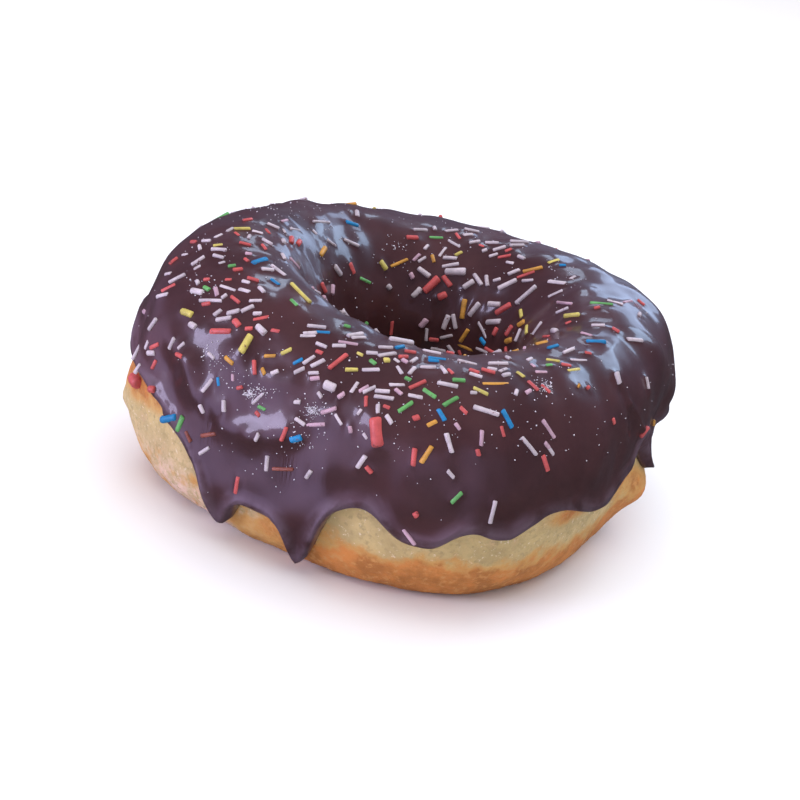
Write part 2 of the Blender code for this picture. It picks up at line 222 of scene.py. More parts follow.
# Browned spots: degrees around, millimetres up, half width in degrees and in millimetres, and strength.
TOASTED_SPOTS = (
    (188, 26, 9, 4.5, 1), (204, 22, 13, 3.2, 2.2), (338, 18.5, 5, 4.5, 0.8), (315, 17.5, 7, 1.8, 1.2),
    (346, 12, 6, 4.5, 1.1), (100, 12, 12, 3, 0.6), (25, 13, 8, 3, 0.5), (150, 12, 9, 3, 0.6),
    (224, 3, 25, 7, -1), (290, 6, 30, 4, 0.4),
)

# Blisters on the crust: length in millimetres, share, seed and number of waves.
BLISTERS = ((4.5, 1.0, 3, 16), (1.7, 0.5, 4, 20))
BLISTER_LIMIT = 1.5
CRUST_SHARE, LEAST_CRUST = 0.6, 0.25
RESTING_HEIGHT = 0.01 * MM
MOST_TOASTED = 2

# Colours of the crust beside those in the settings.
BLUSH, ROSE, FLOURY = (0.62, 0.38, 0.24), (0.74, 0.52, 0.42), (0.72, 0.60, 0.42)
CHESTNUT, GOLD, DEEP_GOLD = (0.60, 0.29, 0.095), (0.60, 0.34, 0.11), (0.55, 0.28, 0.085)

# Waves on the icing's face: height and length in millimetres, and seed. Then its edge's shape, and where
# along it the painted sheen lies.
FACE_WAVES = ((0.22, 12, 12), (0.08, 6, 13))
FACE_SINK, BACK_SINK = 0.25 * MM, 0.4 * MM
BEAD_PLACE, BEAD_WIDTH = 1.4 * MM, 1.1 * MM
EDGE_SHEEN_PLACE = 1.3 * MM
STEEPEST_RUN, STEEP_PULL = 3.0, 0.9

# The most that a pixel of a thin or thick seen sprinkle stands for, and how far its plane turns to the eye.
THIN_REACH, THICK_REACH = 0.40 * MM, 0.22 * MM
PLANE_TURN = 0.25
SEEN_SHORTEST = 1.2 * MM
SEEN_THICKNESS = 0.94

# How far apart strewn sprinkles fall up to that angle of the section, and how clear of the edges.
SPRINKLE_SPACING = ((40, 5.2 * MM), (65, 3.6 * MM), (360, 2.7 * MM))
OUTER_MARGIN, HOLE_MARGIN = math.radians(9), math.radians(12)
EDGE_ON, HIDDEN_DEPTH = 0.16, 0.8 * MM
SPRINKLE_SHARES = {
    "white": 0.56, "pink": 0.09, "red": 0.14, "orange": 0.06, "yellow": 0.06, "green": 0.05, "blue": 0.04,
}

# The rod that sprinkles are made from, how much each one varies, and how far the icing creeps up it.
ROD_HALF, ROD_TIP, ROD_RADIUS = 2 * MM, 1.5 * MM, 0.5 * MM
SPRINKLE_BEND, SPRINKLE_TAPER, SPRINKLE_LEAN, SPRINKLE_RAISE = 0.05, 0.12, 0.2, (-0.12, 0.2)
SEEN_WIDTHS, STREWN_WIDTHS = (0.85, 1.1), (0.85, 1.2)
WET_REACH, WET_HEIGHT, WET_WIDTH = 0.42, 0.2, 0.8

LOOSE_GRAINS = 320
GRAIN_SIZES, GRAIN_RAISE = (0.05, 0.2, 0.08), 0.4 * MM

# Lights: name, degrees around and up, distance, size, power and colour.
LIGHTS = (
    ("window_light", 46, 34, 0.6, (0.25, 0.18), 0.95, (0.50, 0.70, 1.0)),
    ("window_glow", 70, 17, 0.6, (0.24, 0.18), 0.44, (0.50, 0.68, 1.0)),
    ("window_gap", 92, 36, 0.6, (0.07, 0.14), 0.15, (0.60, 0.76, 1.0)),
    ("left_light", -148, 16, 0.6, (0.17, 0.27), 1.7, (0.70, 0.66, 1.0)),
    ("top_light", -90, 85, 2.2, (2.6, 2.6), 50.0, (1.0, 0.98, 0.97)),
)

# What the matt faces are lit by, and what the gloss mirrors above, below, in front and low on the left.
AIR, SKY, GROUND = (0.60, 0.59, 0.62), (0.15, 0.125, 0.20), (0.07, 0.06, 0.075)
FRONT_BAND, LOW_GLOW = (0.86, 0.60, 1.05), (1.5, 1.2, 2.2)
LOW_GLOW_WAY = (-0.76, -0.57, -0.31)


# Sizes and colours that a user would change.


def length_setting(name, description, millimetres):
    return FloatProperty(name=name, description=description, default=millimetres * MM, unit="LENGTH")


def angle_setting(name, description, degrees):
    return FloatProperty(name=name, description=description, default=math.radians(degrees), subtype="ANGLE")


def colour_setting(name, description, colour):
    return FloatVectorProperty(
        name=name, description=description, subtype="COLOR", default=colour, min=0, max=1,
    )


class DoughSettings(bpy.types.PropertyGroup):
    pale: colour_setting("Pale side", "Colour of the band that stood clear of the oil", (0.54, 0.405, 0.19))
    brown: colour_setting("Browned foot", "Colour of the fried underside", (0.52, 0.20, 0.052))
    band: length_setting("Band height", "Height at which the pale side turns brown", 9.5)
    relief: length_setting("Relief", "Height of the blisters on the crust", 0.16)


class IcingSettings(bpy.types.PropertyGroup):
    thickness: length_setting("Thickness", "Height of the icing's face over the dough", 2.05)
    bead: length_setting("Bead", "How far the thick rim along the edge stands out", 0.7)
    rim: length_setting("Rim width", "Width over which the edge rounds down to the dough", 1.25)
    colour: colour_setting("Chocolate", "Colour of the icing", (0.050, 0.0165, 0.0175))
    # Painted sheen: a lighter lavender colour along the icing's edge stands in for the highlight on its
    # rounded rim.
    edge_sheen_colour: colour_setting("Edge", "Colour of the icing along its edge", (0.115, 0.072, 0.098))
    gloss: FloatProperty(name="Roughness", description="Of the icing's face", default=0.38, min=0, max=1)


class SprinkleSettings(bpy.types.PropertyGroup):
    seed: IntProperty(name="Seed", description="Start of the draw for the strewn sprinkles", default=23)
    tries: IntProperty(name="Tries", description="How many places are tried", default=5000)
    width: length_setting("Width", "Thickness of a sprinkle", 0.78)
    shortest: length_setting("Shortest", "Length of the short ones", 1.8)
    longest: length_setting("Longest", "Length of the long ones", 4.8)
    white: colour_setting("White", "White sugar", (0.51, 0.44, 0.49))
    pink: colour_setting("Pink", "Pink sugar", (0.47, 0.30, 0.38))
    red: colour_setting("Red", "Red sugar", (0.51, 0.085, 0.085))
    orange: colour_setting("Orange", "Orange sugar", (0.53, 0.26, 0.045))
    yellow: colour_setting("Yellow", "Yellow sugar", (0.56, 0.47, 0.12))
    green: colour_setting("Green", "Green sugar", (0.12, 0.37, 0.11))
    blue: colour_setting("Blue", "Blue sugar", (0.008, 0.20, 0.45))
    brown: colour_setting("Iced", "Sugar under icing", (0.25, 0.07, 0.05))
    grains: colour_setting("Grains", "Fine sugar", (0.66, 0.62, 0.70))


class StageSettings(bpy.types.PropertyGroup):
    distance: length_setting("Distance", "From the camera to the middle of the ring", 293.6)
    elevation: angle_setting("Elevation", "How steeply the camera looks down", 23.68)
    roll: angle_setting("Roll", "How far the camera leans over", 10.82)
    floor: colour_setting("Floor", "Colour of the floor", (0.86, 0.86, 0.87))


class DoughnutSettings(bpy.types.PropertyGroup):
    dough: PointerProperty(type=DoughSettings)
    icing: PointerProperty(type=IcingSettings)
    sprinkles: PointerProperty(type=SprinkleSettings)
    stage: PointerProperty(type=StageSettings)


def settings():
    return bpy.context.scene.doughnut


# The ring's form.


def wave_sum(waves, angle):
    """Each wave has its number around the ring and the heights of its cosine and its sine."""
    return sum(c * np.cos(n * angle) + s * np.sin(n * angle) for n, c, s in waves)


def rounded(value, fullness):
    """A cosine or sine made fuller, so that a circle becomes a rounded square."""
    return np.copysign(np.abs(value) ** (2 / fullness), value)


def bell(away):
    return np.exp(-(away ** 2))


def degrees_away(around, angle):
    return (np.degrees(around) - angle + 180) % 360 - 180


def dimple(around, section):
    """How far the dough sinks in shallow dimples, as in the solids."""
    return -DOUGH_DIMPLE * (1 + np.sin(9 * around + 3 * section) * np.sin(5 * around - 7 * section))


def plain_ring_point(around, section, offset):
    """Points that far outside the dough. Section 0 faces out, a quarter turn is the crest."""
    around, section, offset = np.broadcast_arrays(around, section, offset)
    across, up = np.cos(section), np.sin(section)
    fullness = np.where(up < 0, FOOT_FULLNESS, np.where(across > 0, TOP_FULLNESS, HOLE_FULLNESS))
    side = np.where(across > 0, OUTER_SIDE + wave_sum(SIDE_WAVES, around), HOLE_SIDE)
    rise = np.where(up > 0, CREST_RISE + wave_sum(CREST_WAVES, around), WAIST_HEIGHT + FOOT_ROUNDING)
    radius = CREST_RADIUS + wave_sum(RING_WAVES, around) + (side + offset) * rounded(across, fullness)
    height = np.maximum(WAIST_HEIGHT + (rise + offset) * rounded(up, fullness), 0.0)
    return np.stack([radius * np.cos(around), radius * np.sin(around), height], axis=-1)


def ring_middle():
    """Where the ring's own axis stands, from the dough solid's box."""
    turn = np.arange(SOLID_STEPS) * 2 * np.pi / SOLID_STEPS
    section = np.arange(SOLID_SECTION) * 2 * np.pi / SOLID_SECTION + np.pi / 2
    around, section = np.meshgrid(turn, section, indexing="ij")
    points = plain_ring_point(around, section, dimple(around, section)).reshape(-1, 3)
    own = (points.min(axis=0) + points.max(axis=0)) / 2
    low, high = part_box("dough")
    return np.array([(low[0] + high[0]) / 2 - own[0], (low[1] + high[1]) / 2 - own[1], 0.0])


RING_MIDDLE = ring_middle()


def lump_height(around, section):
    places = plain_ring_point(around, section, 0.0)
    total = 0
    for angle, turn, width, height in LUMPS:
        away = places - plain_ring_point(np.radians(angle), np.radians(turn), 0.0)
        total = total + height * MM * np.exp(-np.sum(away ** 2, axis=-1) / (width * MM) ** 2)
    return total


def ring_point(around, section, offset):
    return plain_ring_point(around, section, offset + lump_height(around, section)) + RING_MIDDLE


def edge_section(height, rise, fullness):
    above = height - WAIST_HEIGHT
    over = np.arcsin(np.clip(above / rise, 0, 1) ** (fullness / 2))
    under = -np.arcsin(np.clip(-above / (WAIST_HEIGHT + FOOT_ROUNDING), 0, 1) ** (FOOT_FULLNESS / 2))
    return np.where(above > 0, over, under)


def edge_height(around):
    height = np.full(np.shape(around), EDGE_HEIGHT)
    for angle, half_width, depth in EDGE_RUNS:
        away = np.abs(degrees_away(around, angle)) / half_width
        height = height - depth * MM * np.exp(-(away ** RUN_BLUNTNESS))
    return height


def outer_edge(around):
    """The section angle of the icing's outer edge."""
    return edge_section(edge_height(around), CREST_RISE + wave_sum(CREST_WAVES, around), TOP_FULLNESS)


def hole_edge(around):
    """The section angle of the icing's edge down the hole."""
    height = HOLE_EDGE_HEIGHT + wave_sum(HOLE_EDGE_WAVES, around)
    return np.pi - edge_section(height, CREST_RISE, HOLE_FULLNESS)


def row_section(around, share):
    high = hole_edge(around)
    even = MEAN_EDGE + (high - MEAN_EDGE) * share
    return even + (outer_edge(around) - MEAN_EDGE) * (1 - share) ** EDGE_PULL


def any_way(draw):
    return Vector([draw.gauss(0, 1) for _ in range(3)])


def ripple(points, length, seed, terms=7):
    """Smooth unevenness between about -1 and 1, with waves of that length."""
    draw = random.Random(seed)
    total = 0
    for _ in range(terms):
        way = any_way(draw).normalized()
        pull = 2 * math.pi / (length * draw.uniform(0.7, 1.4))
        total = total + np.sin(points @ np.array(way) * pull + draw.uniform(0, 2 * math.pi))
    return total / math.sqrt(terms)


# Mesh helpers.


def spun_ring(name, steps, section_steps):
    """A plain ring tube, whose vertices are then moved into place."""
    shell = bmesh.new()
    made = bmesh.ops.create_circle(shell, segments=section_steps, radius=BASE_TUBE)
    upright = Matrix.Translation((CREST_RADIUS, 0, 0)) @ Matrix.Rotation(math.pi / 2, 4, "X")
    bmesh.ops.transform(shell, matrix=upright, verts=made["verts"])
    bmesh.ops.spin(
        shell, geom=shell.verts[:] + shell.edges[:], cent=(0, 0, 0), axis=(0, 0, 1),
        angle=2 * math.pi, steps=steps, use_merge=True,
    )
    bmesh.ops.remove_doubles(shell, verts=shell.verts, dist=0.005 * MM)
    bmesh.ops.recalc_face_normals(shell, faces=shell.faces)
    return new_piece(name, shell)


def mesh_of(name, shell):
    mesh = bpy.data.meshes.new(name)
    shell.to_mesh(mesh)
    shell.free()
    return mesh


def new_piece(name, shell):
    return show(name, mesh_of(name, shell))


def show(name, mesh):
    mesh.shade_smooth()
    obj = bpy.data.objects.new(name, mesh)
    bpy.context.scene.collection.objects.link(obj)
    return obj


def ring_angles(obj):
    """The angles around the ring and around its section of the vertices of a plain ring."""
    points = read_points(obj.data)
    radius = np.hypot(points[:, 0], points[:, 1])
    return np.arctan2(points[:, 1], points[:, 0]), np.arctan2(points[:, 2], radius - CREST_RADIUS)


def read_points(mesh):
    points = np.empty(len(mesh.vertices) * 3)
    mesh.vertices.foreach_get("co", points)
    return points.reshape(-1, 3)


def write_points(mesh, points):
    mesh.vertices.foreach_set("co", points.ravel())
    mesh.update()


def read_normals(mesh):
    normals = np.empty(len(mesh.vertices) * 3)
    mesh.vertex_normals.foreach_get("vector", normals)
    return normals.reshape(-1, 3)


def add_attribute(obj, name, values):
    layer = obj.data.attributes.new(name, "FLOAT", "POINT")
    layer.data.foreach_set("value", values.astype(np.float32))


def along_segment(points, start, end):
    """The distance from each point to a line between two places."""
    start, end = np.array(start), np.array(end)
    line = end - start
    share = np.clip((points - start) @ line / max(line @ line, 1e-12), 0, 1)
    return np.linalg.norm(points - start - share[:, None] * line, axis=1)


def point_tree(points):
    tree = KDTree(len(points))
    for index, point in enumerate(points):
        tree.insert(point, index)
    tree.balance()
    return tree


def shifted_faces(mesh, first):
    """The corners of each face, counted on from a first vertex."""
    return [[first + corner for corner in face.vertices] for face in mesh.polygons]


def surface_of(*pieces):
    """The faces of some pieces, to cast sight lines on."""
    points, faces = [], []
    for obj in pieces:
        faces += shifted_faces(obj.data, len(points))
        points += read_points(obj.data).tolist()
    return BVHTree.FromPolygons(points, faces)


def copies(name, pattern, places):
    """One mesh of many copies of a small pattern mesh. Each place moves the pattern's points its own way."""
    base = read_points(pattern)
    points = np.concatenate([place(base) for place in places])
    starts = range(0, len(points), len(base))
    mesh = bpy.data.meshes.new(name)
    mesh.from_pydata(points, [], [face for start in starts for face in shifted_faces(pattern, start)])
    mesh.validate()
    return show(name, mesh)


# The camera's place, which also turns the photograph's pixels into places on the doughnut.


def camera_place():
    stage = settings().stage
    back = Vector((0, -math.cos(stage.elevation), math.sin(stage.elevation)))
    right = Vector((1, 0, 0))
    up = back.cross(right)
    right, up = (
        right * math.cos(stage.roll) + up * math.sin(stage.roll),
        up * math.cos(stage.roll) - right * math.sin(stage.roll),
    )
    place = Matrix((right, up, back)).transposed().to_4x4()
    place.translation = Vector(RING_MIDDLE) + Vector((0, 0, WAIST_HEIGHT)) + back * stage.distance
    turn = math.atan((PHOTO_CENTRE - RING_PIXEL_Y) / FOCAL_PIXELS)
    return place @ Matrix.Rotation(-turn, 4, "X")


def sight_line(pixel_x, pixel_y):
    """Where the camera stands and the direction in which it sees that pixel."""
    place = camera_place()
    ray = Vector((pixel_x - PHOTO_CENTRE, PHOTO_CENTRE - pixel_y, -FOCAL_PIXELS)).normalized()
    return place.translation, (place.to_3x3() @ ray).normalized()


def seen_place(surface, pixel_x, pixel_y):
    """The place on a surface that the camera sees at that pixel, or the nearest one beside its line."""
    eye, way = sight_line(pixel_x, pixel_y)
    hit = surface.ray_cast(eye, way)
    if hit[0] is None:
        hit = surface.find_nearest(eye + way * settings().stage.distance)
    return hit[0], hit[1]


def plane_place(point, normal, pixel_x, pixel_y):
    """Where the sight line of that pixel meets the plane at a point, turned a little towards the camera."""
    eye, way = sight_line(pixel_x, pixel_y)
    facing = normal - way * PLANE_TURN
    return eye + way * ((point - eye).dot(facing) / way.dot(facing))


# Material helpers.


def add_node(tree, kind, inputs=(), **values):
    node = tree.nodes.new(kind)
    for name, value in values.items():
        setattr(node, name, value)
    for name, value in inputs:
        feed(tree, node.inputs[name], value)
    return node


def feed(tree, socket, value):
    """Links a socket to another, or sets its number or colour."""
    if isinstance(value, bpy.types.NodeSocket):
        tree.links.new(value, socket)
    elif isinstance(value, tuple) and socket.type == "RGBA":
        socket.default_value = (*value, 1.0)
    else:
        socket.default_value = value


def new_material(name, **values):
    """A material, with those inputs of its shader set."""
    material = bpy.data.materials.new(name)
    material.use_nodes = True
    shader = material.node_tree.nodes["Principled BSDF"]
    for socket, value in values.items():
        shader.inputs[socket.replace("_", " ")].default_value = value
    return material, material.node_tree, shader


def mottle_group():
    """Uneven patches: a mask of soft noise that a material places at its own scale."""
    known = bpy.data.node_groups.get("mottle")
    if known:
        return known
    group = bpy.data.node_groups.new("mottle", "ShaderNodeTree")
    for name, value in (("Scale", 60.0), ("Low", 0.35), ("High", 0.65)):
        socket = group.interface.new_socket(name, in_out="INPUT", socket_type="NodeSocketFloat")
        socket.default_value = value
    group.interface.new_socket("Mask", in_out="OUTPUT", socket_type="NodeSocketFloat")
    start, end = group.nodes.new("NodeGroupInput"), group.nodes.new("NodeGroupOutput")
    place = add_node(group, "ShaderNodeTexCoord")
    shape = (("Scale", start.outputs["Scale"]), ("Detail", 4.0), ("Roughness", 0.6))
    noise = add_node(group, "ShaderNodeTexNoise", (("Vector", place.outputs["Object"]), *shape))
    mask = span(group, noise.outputs["Fac"], start.outputs["Low"], start.outputs["High"])
    group.links.new(mask, end.inputs["Mask"])
    return group


def mottle(tree, scale, low=0.35, high=0.65):
    inputs = (("Scale", scale), ("Low", low), ("High", high))
    return add_node(tree, "ShaderNodeGroup", inputs, node_tree=mottle_group()).outputs["Mask"]


def blend(tree, mask, first, second):
    """A colour between two, by a mask."""
    return add_node(tree, "ShaderNodeMix", ((0, mask), (6, first), (7, second)), data_type="RGBA").outputs[2]


def calculate(tree, operation, first, second=0.0, clamp=False):
    node = add_node(tree, "ShaderNodeMath", ((0, first), (1, second)), operation=operation, use_clamp=clamp)
    return node.outputs["Value"]


def span(tree, value, low, high):
    """0 at low, 1 at high, softly between."""
    inputs = (("Value", value), ("From Min", low), ("From Max", high))
    node = add_node(tree, "ShaderNodeMapRange", inputs, interpolation_type="SMOOTHSTEP")
    return node.outputs["Result"]


def add_bump(tree, shader, height, strength, distance):
    inputs = (("Height", height), ("Strength", strength), ("Distance", distance))
    bump = add_node(tree, "ShaderNodeBump", inputs)
    tree.links.new(bump.outputs["Normal"], shader.inputs["Normal"])


def attribute(tree, name):
    return add_node(tree, "ShaderNodeAttribute", attribute_name=name).outputs["Fac"]


def shade(colour, factor):
    return tuple(min(1.0, channel * factor) for channel in colour)


def dough_material():
    dough = settings().dough
    material, tree, shader = new_material(
        "fried_dough", Roughness=0.62, Specular_IOR_Level=0.3,
        Subsurface_Weight=0.12, Subsurface_Radius=(1.0, 0.5, 0.25), Subsurface_Scale=1.5 * MM,
    )
    place = add_node(tree, "ShaderNodeTexCoord")
    height = add_node(tree, "ShaderNodeSeparateXYZ", (("Vector", place.outputs["Object"]),)).outputs["Z"]
    wander = calculate(tree, "MULTIPLY", mottle(tree, 110.0, 0.3, 0.7), 4.0 * MM)
    tremble = calculate(tree, "MULTIPLY", mottle(tree, 420.0, 0.3, 0.7), 1.6 * MM)
    level = calculate(tree, "SUBTRACT", height, calculate(tree, "ADD", wander, tremble))
    foot = span(tree, level, dough.band, dough.band - 6.5 * MM)
    toast = attribute(tree, "toasting")
    rosy = calculate(tree, "MULTIPLY", toast, -1.0, clamp=True)
    toast = calculate(tree, "MULTIPLY", toast, calculate(tree, "ADD", mottle(tree, 260.0, 0.25, 0.7), 0.35))
    browning = calculate(tree, "ADD", foot, toast, clamp=True)
    pale = blend(tree, mottle(tree, 150.0), shade(dough.pale, 0.86), shade(dough.pale, 1.1))
    pale = blend(tree, mottle(tree, 90.0, 0.55, 0.75), pale, BLUSH)
    rosy = calculate(tree, "MULTIPLY", rosy, calculate(tree, "ADD", mottle(tree, 300.0), 0.4), clamp=True)
    pale = blend(tree, rosy, pale, ROSE)
    pale = blend(tree, mottle(tree, 900.0, 0.5, 0.7), pale, shade(dough.pale, 0.78))
    pale = blend(tree, mottle(tree, 1300.0, 0.6, 0.7), pale, FLOURY)
    brown = blend(tree, mottle(tree, 190.0), shade(dough.brown, 0.8), shade(dough.brown, 1.2))
    brown = blend(tree, mottle(tree, 800.0, 0.5, 0.7), brown, CHESTNUT)
    golden = blend(tree, mottle(tree, 240.0), GOLD, DEEP_GOLD)
    side = blend(tree, span(tree, browning, 0.0, 0.55), pale, golden)
    colour = blend(tree, span(tree, browning, 0.45, 1.0), side, brown)
    tree.links.new(colour, shader.inputs["Base Color"])
    pores = calculate(tree, "MULTIPLY", mottle(tree, 1500.0, 0.3, 0.7), 0.5)
    pores = calculate(tree, "ADD", pores, mottle(tree, 480.0, 0.3, 0.7))
    add_bump(tree, shader, pores, 0.5, 0.25 * MM)
    return material


def icing_material():
    icing = settings().icing
    material, tree, shader = new_material("chocolate_icing", Coat_Weight=0.5, Coat_Roughness=0.09)
    patches = mottle(tree, 70.0)
    colour = blend(tree, patches, shade(icing.colour, 0.85), shade(icing.colour, 1.2))
    # Painted sheen: the edge mask lays a lighter lavender colour along the rim, in patches, in place of the
    # rim's highlight.
    edge = calculate(tree, "MULTIPLY", attribute(tree, "edge"), mottle(tree, 160.0, 0.3, 0.6))
    colour = blend(tree, edge, colour, tuple(icing.edge_sheen_colour))
    tree.links.new(colour, shader.inputs["Base Color"])
    film = calculate(tree, "ADD", calculate(tree, "MULTIPLY", mottle(tree, 130.0), 0.12), icing.gloss - 0.05)
    tree.links.new(film, shader.inputs["Roughness"])
    return material


def sugar_material(name, colour, smeared=True):
    material, tree, shader = new_material(name, Roughness=0.42)
    body = blend(tree, mottle(tree, 320.0), shade(colour, 0.82), shade(colour, 1.12))
    if smeared:
        body = blend(tree, mottle(tree, 900.0, 0.62, 0.74), body, shade(settings().icing.colour, 3.0))
    tree.links.new(body, shader.inputs["Base Color"])
    add_bump(tree, shader, mottle(tree, 1400.0, 0.3, 0.7), 0.35, 0.1 * MM)
    return material


# The dough.


def toasting(points, around):
    """How browned the pale side is, in spots. Below nought it is rosy."""
    total = np.zeros(len(points))
    for angle, height, half_turn, half_height, strength in TOASTED_SPOTS:
        away = degrees_away(around, angle) / half_turn
        rise = (points[:, 2] - height * MM) / (half_height * MM)
        total += strength * np.exp(-(away ** 2) - rise ** 2)
    return np.clip(total, -1, MOST_TOASTED)


class DOUGHNUT_OT_dough(bpy.types.Operator):
    """Makes the fried dough ring"""
    bl_idname = "doughnut.dough"
    bl_label = "Dough ring"

    def execute(self, context):
        relief = settings().dough.relief
        ring = spun_ring("dough_ring", DOUGH_STEPS, DOUGH_SECTION)
        around, section = ring_angles(ring)
        smooth = ring_point(around, section, 0.0)
        blisters = sum(share * ripple(smooth, size * MM, *waves) for size, share, *waves in BLISTERS)
        low = np.clip((WAIST_HEIGHT - smooth[:, 2]) / WAIST_HEIGHT, LEAST_CRUST, 1)
        crust = relief * np.clip(blisters, -BLISTER_LIMIT, BLISTER_LIMIT) * low * CRUST_SHARE
        resting = smooth[:, 2] < RESTING_HEIGHT
        offset = dimple(around, section) + np.where(resting, 0.0, crust)
        points = ring_point(around, section, offset)
        write_points(ring.data, points)
        add_attribute(ring, "toasting", toasting(points, around))
        ring.data.materials.append(dough_material())
        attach(ring, "root")
        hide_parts("dough")
        return {"FINISHED"}


# The icing.


def icing_columns():
    """Angles around the ring of the icing's columns, closer where its edge runs steeply."""
    fine = np.linspace(0, 2 * np.pi, COLUMN_SAMPLES)
    height = edge_height(fine)
    steep = np.abs(np.gradient(height, fine)) / (CREST_RADIUS + OUTER_SIDE)
    weight = 1 + np.minimum(steep, STEEPEST_RUN) * STEEP_PULL
    length = np.concatenate([[0], np.cumsum((weight[1:] + weight[:-1]) / 2)])
    return np.interp(np.arange(ICING_STEPS) / ICING_STEPS, length / length[-1], fine)


def edge_distance(low, thickness):
    """The distance of each point from the icing's nearest edge."""
    turn = np.linspace(0, 2 * np.pi, EDGE_SAMPLES)
    outer = ring_point(turn, outer_edge(turn), thickness / 2)
    inner = ring_point(turn, hole_edge(turn), thickness / 2)
    tree = point_tree(np.concatenate([outer, inner]))
    return np.array([tree.find(point)[2] for point in low])


class DOUGHNUT_OT_icing(bpy.types.Operator):
    """Pours the chocolate icing over the dough"""
    bl_idname = "doughnut.icing"
    bl_label = "Chocolate icing"

    def execute(self, context):
        icing = settings().icing
        loop = ICING_FACE + 1 + ICING_BACK
        shell = spun_ring("chocolate_icing", ICING_STEPS, loop)
        around, turn = ring_angles(shell)
        column = np.round((around / (2 * np.pi) - 0.25) * ICING_STEPS).astype(int) % ICING_STEPS
        around = icing_columns()[column]
        row = np.round((turn / (2 * np.pi) - 0.25) * loop).astype(int) % loop
        face = row <= ICING_FACE
        share = np.where(face, row / ICING_FACE, 1 - (row - ICING_FACE - 1) / (ICING_BACK - 1))
        section = row_section(around, share)
        low = ring_point(around, section, icing.thickness / 2)
        inward = edge_distance(low, icing.thickness)
        offset = self.face_offset(icing, low, around, section, inward)
        offset = np.where(face, offset, -BACK_SINK)
        write_points(shell.data, ring_point(around, section, offset))
        self.fold(shell)
        # The edge mask marks where the painted sheen along the rim goes.
        add_attribute(shell, "edge", bell((inward - EDGE_SHEEN_PLACE) / EDGE_SHEEN_PLACE))
        shell.data.materials.append(icing_material())
        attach(shell, "root")
        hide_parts("icing")
        return {"FINISHED"}

    def face_offset(self, icing, low, around, section, inward):
        """How far the icing's face stands off the dough, rounded down to it along the edge."""
        swell = sum(np.sin(m * around + n * section + start) for m, n, start in ICING_SWELL_WAVES)
        body = icing.thickness + ICING_SWELL * swell / 2
        body += sum(height * MM * ripple(low, size * MM, seed) for height, size, seed in FACE_WAVES)
        bead = icing.bead * bell((inward - BEAD_PLACE) / BEAD_WIDTH)
        share = np.clip(inward / icing.rim, 0, 1)
        round_off = np.sqrt(1 - (1 - share) ** 2)
        return (body + bead + FACE_SINK) * round_off - FACE_SINK

    def fold(self, shell):
        """Raises the folds that the photograph shows."""
        surface = surface_of(shell)
        points, normals = read_points(shell.data), read_normals(shell.data)
        lift = np.zeros(len(points))
        for x0, y0, x1, y1, width, height in SEEN_FOLDS:
            start, end = seen_place(surface, x0, y0)[0], seen_place(surface, x1, y1)[0]
            lift += height * MM * bell(along_segment(points, start, end) / (width * MM))
        write_points(shell.data, points + normals * lift[:, None])


# The sprinkles.


def sprinkle_pattern():
    """One sugar rod along X, a millimetre thick and four long, with rounded ends."""
    rod = bmesh.new()
    bmesh.ops.create_cone(
        rod, cap_ends=True, segments=8, radius1=ROD_RADIUS, radius2=ROD_RADIUS, depth=2 * ROD_HALF,
    )
    bmesh.ops.rotate(rod, verts=rod.verts, cent=(0, 0, 0), matrix=Matrix.Rotation(math.pi / 2, 3, "Y"))
    rims = [edge for edge in rod.edges if abs(edge.verts[0].co.x - edge.verts[1].co.x) < MM]
    bmesh.ops.bevel(rod, geom=rims, offset=0.2 * MM, segments=2, profile=0.5, affect="EDGES", material=-1)
    long_edges = [edge for edge in rod.edges if abs(edge.verts[0].co.x - edge.verts[1].co.x) > MM]
    bmesh.ops.subdivide_edges(rod, edges=long_edges, cuts=2)
    return mesh_of("sprinkle_pattern", rod)


def in_plane(heading, out):
    """A heading laid flat on the surface with that normal."""
    return (heading - out * heading.dot(out)).normalized()


def sprinkle_place(draw, point, normal, heading, length, width):
    """A function that lays the pattern rod on the icing, with its own length, thickness, bend and taper."""
    out = normal.normalized()
    forward = in_plane(heading, out)
    turned = np.array(Matrix((forward, out.cross(forward), out)))
    raised = np.array(point + out * width * draw.uniform(*SPRINKLE_RAISE))
    bend = draw.uniform(-SPRINKLE_BEND, SPRINKLE_BEND)
    taper = draw.uniform(-SPRINKLE_TAPER, SPRINKLE_TAPER)
    lean = draw.uniform(-SPRINKLE_LEAN, SPRINKLE_LEAN)
    thick = width / MM
    straight = max(length / 2 - 0.5 * width, 0.1 * width)

    def lay(base):
        x, y, z = base.T
        end = np.sign(x) * (length / 2 - (ROD_HALF - np.abs(x)) * thick)
        along = np.where(np.abs(x) > ROD_TIP, end, x / ROD_TIP * straight)
        share = along / length
        grown = thick * (1 + taper * share)
        across = y * grown + bend * length * (share ** 2 - 0.1)
        along = along + lean * y * np.abs(share) * 2
        return np.stack([along, across, z * grown], axis=1) @ turned + raised

    return lay


def seen_sprinkles(surface, draw):
    """The sprinkles that the photograph shows, as colour, point, normal, heading, length and width."""
    found = []
    width = settings().sprinkles.width
    for colour, rows in SEEN_SPRINKLES.items():
        for x, y, across, down, *thick in rows:
            middle, normal = seen_place(surface, x + across / 2, y + down / 2)
            heading = plane_place(middle, normal, x + across, y + down) - plane_place(middle, normal, x, y)
            longest = math.hypot(across, down) * (THICK_REACH if thick else THIN_REACH)
            length = min(max(heading.length, SEEN_SHORTEST), longest)
            own = thick[0] * MM * SEEN_THICKNESS if thick else width * draw.uniform(*SEEN_WIDTHS)
            found.append((colour, middle, normal, heading, length, own))
    return found


def sprinkle_spacing(section):
    """How far apart strewn sprinkles fall: close on the crest, wide down the outer side."""
    return next(spacing for limit, spacing in SPRINKLE_SPACING if math.degrees(section) < limit)


def shows_in_photo(surface, eye, point, normal):
    """Whether the camera sees that place well enough for its sprinkles to be among the seen ones."""
    way = point - eye
    hit = surface.ray_cast(eye, way.normalized())
    clear = hit[0] is not None and (hit[0] - point).length < HIDDEN_DEPTH
    facing = -normal.dot(way.normalized())
    return abs(facing) < EDGE_ON or clear and facing > 0


